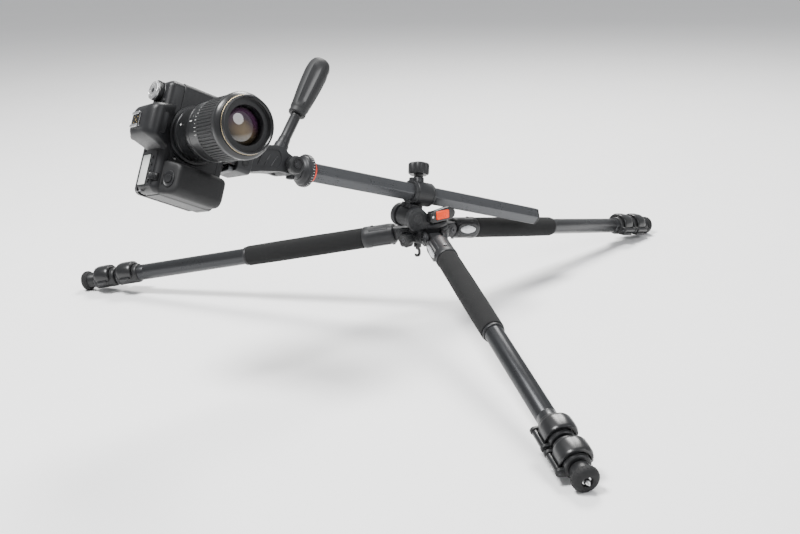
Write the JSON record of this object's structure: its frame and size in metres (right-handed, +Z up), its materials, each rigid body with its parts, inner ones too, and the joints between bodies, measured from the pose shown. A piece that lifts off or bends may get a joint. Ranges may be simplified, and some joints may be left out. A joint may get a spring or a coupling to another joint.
{
  "type": "camera on tripod",
  "caption": "Digital reflex camera on a low-set three-section tripod with a hinged hexagonal centre column, pan and tilt head with handle, foam leg grips and flip locks.",
  "frame": {"origin": "centre of the overall box at floor level, under the feet", "axes": "+Z up; -Y is the side that the lens and the front leg face; +X to the right seen from that side"},
  "size_m": [1.0266, 1.0266, 0.4102],
  "materials": {
    "cast": "fine textured charcoal paint on die castings",
    "tube": "satin dark grey anodised tube",
    "foam": "closed cell black foam sleeve",
    "latch": "silver grey moulded buttons and levers",
    "lever": "black glass filled plastic, fine grain",
    "foot": "black moulded rubber",
    "signal": "bright orange plastic",
    "grip_rubber": "charcoal soft rubber handle",
    "camera_shell": "finely textured black camera shell",
    "camera_grip": "pebbled black rubber",
    "steel": "brushed steel rails",
    "lens_shell": "satin black lens barrel",
    "lens_rubber": "ribbed black rubber ring",
    "glass": "multi-coated optical glass",
    "dial": "black dial with a satin silver top",
    "mirror": "front silvered reflex mirror",
    "battery": "grey battery case"
  },
  "bodies": {
    "canopy": {"canopy": "cast"},
    "swivel": {"swivel_base": "cast"},
    "swivel_lever": {"swivel_lever": "lever"},
    "release_button": {"release_button": "signal"},
    "canopy_knob": {"canopy_knob": "lever"},
    "hook": {"hook": "lever"},
    "column_clamp": {"column_clamp": "cast"},
    "clamp_knob": {"clamp_knob": "lever"},
    "column": {"column": "tube", "column_cap": "lever", "friction_ring": "signal"},
    "pan_base": {"pan_base": "cast", "head_body": "cast"},
    "tilt_knob": {"tilt_knob": "lever"},
    "tilt_block": {"tilt_block": "cast", "handle_rod": "lever", "platform": "cast"},
    "handle_grip": {"handle_grip": "grip_rubber"},
    "plate_lever": {"plate_lever": "latch"},
    "camera": {"camera_plate": "lever", "body_shell": "camera_shell", "top_cover": "camera_shell", "rear_cover": "camera_shell", "hand_grip": "camera_grip", "hot_shoe": "steel", "lens_barrel": "lens_shell", "front_lens": "glass"},
    "focus_ring": {"focus_ring": "lens_rubber"},
    "mode_dial": {"mode_dial": "dial"},
    "control_dial": {"control_dial": "dial"},
    "shutter_button": {"shutter_button": "dial"},
    "mirror": {"mirror": "mirror"},
    "battery": {"battery": "battery"},
    "left_leg": {"left_socket": "cast", "left_upper_tube": "tube", "left_grip": "foam"},
    "left_latch": {"left_angle_latch": "latch"},
    "left_upper_lever": {"left_upper_lever": "lever"},
    "left_middle": {"left_middle_tube": "tube"},
    "left_lower_lever": {"left_lower_lever": "lever"},
    "left_lower": {"left_lower_tube": "tube"},
    "left_foot": {"left_foot": "foot"},
    "right_leg": {"right_socket": "cast", "right_upper_tube": "tube", "right_grip": "foam"},
    "right_latch": {"right_angle_latch": "latch"},
    "right_upper_lever": {"right_upper_lever": "lever"},
    "right_middle": {"right_middle_tube": "tube"},
    "right_lower_lever": {"right_lower_lever": "lever"},
    "right_lower": {"right_lower_tube": "tube"},
    "right_foot": {"right_foot": "foot"},
    "front_leg": {"front_socket": "cast", "front_upper_tube": "tube", "front_grip": "foam"},
    "front_latch": {"front_angle_latch": "latch"},
    "front_upper_lever": {"front_upper_lever": "lever"},
    "front_middle": {"front_middle_tube": "tube"},
    "front_lower_lever": {"front_lower_lever": "lever"},
    "front_lower": {"front_lower_tube": "tube"},
    "front_foot": {"front_foot": "foot"}
  },
  "joints": [
    {"name": "left_leg_spread", "type": "hinge", "parent": "canopy", "child": "left_leg", "pos_m": [0.0416, 0.08569, 0.1305], "axis": [-0.2588, -0.9659, 0], "range_deg": [0, 75]},
    {"name": "left_latch_press", "type": "slide", "parent": "left_leg", "child": "left_latch", "axis": [-0.2588, -0.9659, 0], "range_m": [0, 0.0008], "stiffness_N_per_m": 400, "springref_m": -0.001},
    {"name": "left_upper_lever_flip", "type": "hinge", "parent": "left_leg", "child": "left_upper_lever", "pos_m": [-0.41642, 0.22995, 0.02727], "axis": [-0.9463, 0.2536, -0.2004], "range_deg": [0, 95]},
    {"name": "left_middle_slide", "type": "slide", "parent": "left_leg", "child": "left_middle", "axis": [-0.9463, 0.2536, -0.2004], "range_m": [0, 0.35]},
    {"name": "left_lower_lever_flip", "type": "hinge", "parent": "left_middle", "child": "left_lower_lever", "pos_m": [-0.45739, 0.24093, 0.01859], "axis": [-0.9463, 0.2536, -0.2004], "range_deg": [0, 95]},
    {"name": "left_lower_slide", "type": "slide", "parent": "left_middle", "child": "left_lower", "axis": [-0.9463, 0.2536, -0.2004], "range_m": [0, 0.33]},
    {"name": "left_foot_turn", "type": "hinge", "parent": "left_lower", "child": "left_foot", "pos_m": [-0.50008, 0.23083, 0.01579], "axis": [-0.9463, 0.2536, -0.2004], "continuous": true},
    {"name": "right_leg_spread", "type": "hinge", "parent": "canopy", "child": "right_leg", "pos_m": [0.10183, 0.10183, 0.1305], "axis": [-0.7071, 0.7071, 0], "range_deg": [0, 75]},
    {"name": "right_latch_press", "type": "slide", "parent": "right_leg", "child": "right_latch", "axis": [-0.7071, 0.7071, 0], "range_m": [0, 0.0008], "stiffness_N_per_m": 400, "springref_m": -0.001},
    {"name": "right_upper_lever_flip", "type": "hinge", "parent": "right_leg", "child": "right_upper_lever", "pos_m": [0.45576, 0.42635, 0.02727], "axis": [0.6928, 0.6928, -0.2004], "range_deg": [0, 95]},
    {"name": "right_middle_slide", "type": "slide", "parent": "right_leg", "child": "right_middle", "axis": [0.6928, 0.6928, -0.2004], "range_m": [0, 0.35]},
    {"name": "right_lower_lever_flip", "type": "hinge", "parent": "right_middle", "child": "right_lower_lever", "pos_m": [0.48576, 0.45635, 0.01859], "axis": [0.6928, 0.6928, -0.2004], "range_deg": [0, 95]},
    {"name": "right_lower_slide", "type": "slide", "parent": "right_middle", "child": "right_lower", "axis": [0.6928, 0.6928, -0.2004], "range_m": [0, 0.33]},
    {"name": "right_foot_turn", "type": "hinge", "parent": "right_lower", "child": "right_foot", "pos_m": [0.49836, 0.49836, 0.01579], "axis": [0.6928, 0.6928, -0.2004], "continuous": true},
    {"name": "front_leg_spread", "type": "hinge", "parent": "canopy", "child": "front_leg", "pos_m": [0.08569, 0.0416, 0.1305], "axis": [0.9659, 0.2588, 0], "range_deg": [0, 75]},
    {"name": "front_latch_press", "type": "slide", "parent": "front_leg", "child": "front_latch", "axis": [0.9659, 0.2588, 0], "range_m": [0, 0.0008], "stiffness_N_per_m": 400, "springref_m": -0.001},
    {"name": "front_upper_lever_flip", "type": "hinge", "parent": "front_leg", "child": "front_upper_lever", "pos_m": [0.18976, -0.42718, 0.02727], "axis": [0.2536, -0.9463, -0.2004], "range_deg": [0, 95]},
    {"name": "front_middle_slide", "type": "slide", "parent": "front_leg", "child": "front_middle", "axis": [0.2536, -0.9463, -0.2004], "range_m": [0, 0.35]},
    {"name": "front_lower_lever_flip", "type": "hinge", "parent": "front_middle", "child": "front_lower_lever", "pos_m": [0.20074, -0.46816, 0.01859], "axis": [0.2536, -0.9463, -0.2004], "range_deg": [0, 95]},
    {"name": "front_lower_slide", "type": "slide", "parent": "front_middle", "child": "front_lower", "axis": [0.2536, -0.9463, -0.2004], "range_m": [0, 0.33]},
    {"name": "front_foot_turn", "type": "hinge", "parent": "front_lower", "child": "front_foot", "pos_m": [0.23083, -0.50008, 0.01579], "axis": [0.2536, -0.9463, -0.2004], "continuous": true},
    {"name": "canopy_knob_turn", "type": "hinge", "parent": "canopy", "child": "canopy_knob", "pos_m": [0.04314, 0.04314, 0.12986], "axis": [-0.7071, -0.7071, 0], "range_deg": [-180, 180]},
    {"name": "hook_swing", "type": "hinge", "parent": "canopy", "child": "hook", "pos_m": [0.05975, 0.05975, 0.11586], "axis": [0.7071, -0.7071, 0], "range_deg": [-20, 20]},
    {"name": "column_swivel", "type": "hinge", "parent": "canopy", "child": "swivel", "pos_m": [0.07637, 0.07637, 0.13786], "axis": [0, 0, 1], "range_deg": [-100, 0]},
    {"name": "swivel_lever_open", "type": "hinge", "parent": "swivel", "child": "swivel_lever", "pos_m": [0.08192, 0.04574, 0.16386], "axis": [0.6018, -0.7986, 0], "range_deg": [0, 60]},
    {"name": "release_press", "type": "slide", "parent": "swivel_lever", "child": "release_button", "axis": [-0.6018, 0.7986, 0], "range_m": [0, 0.0012], "stiffness_N_per_m": 400, "springref_m": -0.001},
    {"name": "column_tilt", "type": "hinge", "parent": "swivel", "child": "column_clamp", "pos_m": [0.04682, 0.0541, 0.16306], "axis": [0.6018, -0.7986, 0], "range_deg": [-2, 14]},
    {"name": "clamp_knob_turn", "type": "hinge", "parent": "column_clamp", "child": "clamp_knob", "pos_m": [0.06396, 0.08095, 0.22824], "axis": [0.0513, 0.4256, 0.9035], "range_deg": [-180, 180]},
    {"name": "column_slide", "type": "slide", "parent": "column_clamp", "child": "column", "axis": [-0.7587, -0.5717, 0.3123], "range_m": [-0.06, 0.16]},
    {"name": "head_pan", "type": "hinge", "parent": "column", "child": "pan_base", "pos_m": [-0.09273, -0.05105, 0.25946], "axis": [-0.7587, -0.5717, 0.3123], "range_deg": [-60, 60]},
    {"name": "tilt_knob_turn", "type": "hinge", "parent": "pan_base", "child": "tilt_knob", "pos_m": [-0.10583, -0.09128, 0.27727], "axis": [0.6445, -0.7288, 0.2314], "range_deg": [-180, 180]},
    {"name": "head_tilt", "type": "hinge", "parent": "pan_base", "child": "tilt_block", "pos_m": [-0.12194, -0.07307, 0.27148], "axis": [0.6445, -0.7288, 0.2314], "range_deg": [-30, 45]},
    {"name": "handle_twist", "type": "hinge", "parent": "tilt_block", "child": "handle_grip", "pos_m": [-0.10482, -0.03732, 0.33637], "axis": [0.3853, 0.571, 0.7249], "continuous": true},
    {"name": "plate_lever_open", "type": "hinge", "parent": "tilt_block", "child": "plate_lever", "pos_m": [-0.1846, -0.14941, 0.28765], "axis": [-0.7366, -0.5105, 0.4436], "range_deg": [0, 60]},
    {"name": "plate_slide", "type": "slide", "parent": "tilt_block", "child": "camera", "axis": [-0.6445, 0.7288, -0.2314], "range_m": [0, 0.04]},
    {"name": "focus_turn", "type": "hinge", "parent": "camera", "child": "focus_ring", "pos_m": [-0.17583, -0.22186, 0.35182], "axis": [0.6445, -0.7288, 0.2314], "range_deg": [-60, 60]},
    {"name": "mode_dial_turn", "type": "hinge", "parent": "camera", "child": "mode_dial", "pos_m": [-0.26377, -0.1583, 0.3894], "axis": [-0.7366, -0.5105, 0.4436], "continuous": true},
    {"name": "control_dial_turn", "type": "hinge", "parent": "camera", "child": "control_dial", "pos_m": [-0.26894, -0.21407, 0.29297], "axis": [0.2051, 0.4563, 0.8658], "continuous": true},
    {"name": "shutter_press", "type": "slide", "parent": "camera", "child": "shutter_button", "axis": [0.4108, 0.7628, -0.4994], "range_m": [0, 0.0012], "stiffness_N_per_m": 400, "springref_m": -0.001},
    {"name": "mirror_swing", "type": "hinge", "parent": "camera", "child": "mirror", "pos_m": [-0.25341, -0.15362, 0.33423], "axis": [-0.2051, -0.4563, -0.8658], "range_deg": [0, 40], "stiffness_Nm_per_rad": 0.02, "springref_deg": -17.19},
    {"name": "battery_slide", "type": "slide", "parent": "camera", "child": "battery", "axis": [0.7366, 0.5105, -0.4436], "range_m": [0, 0.05]}
  ]
}
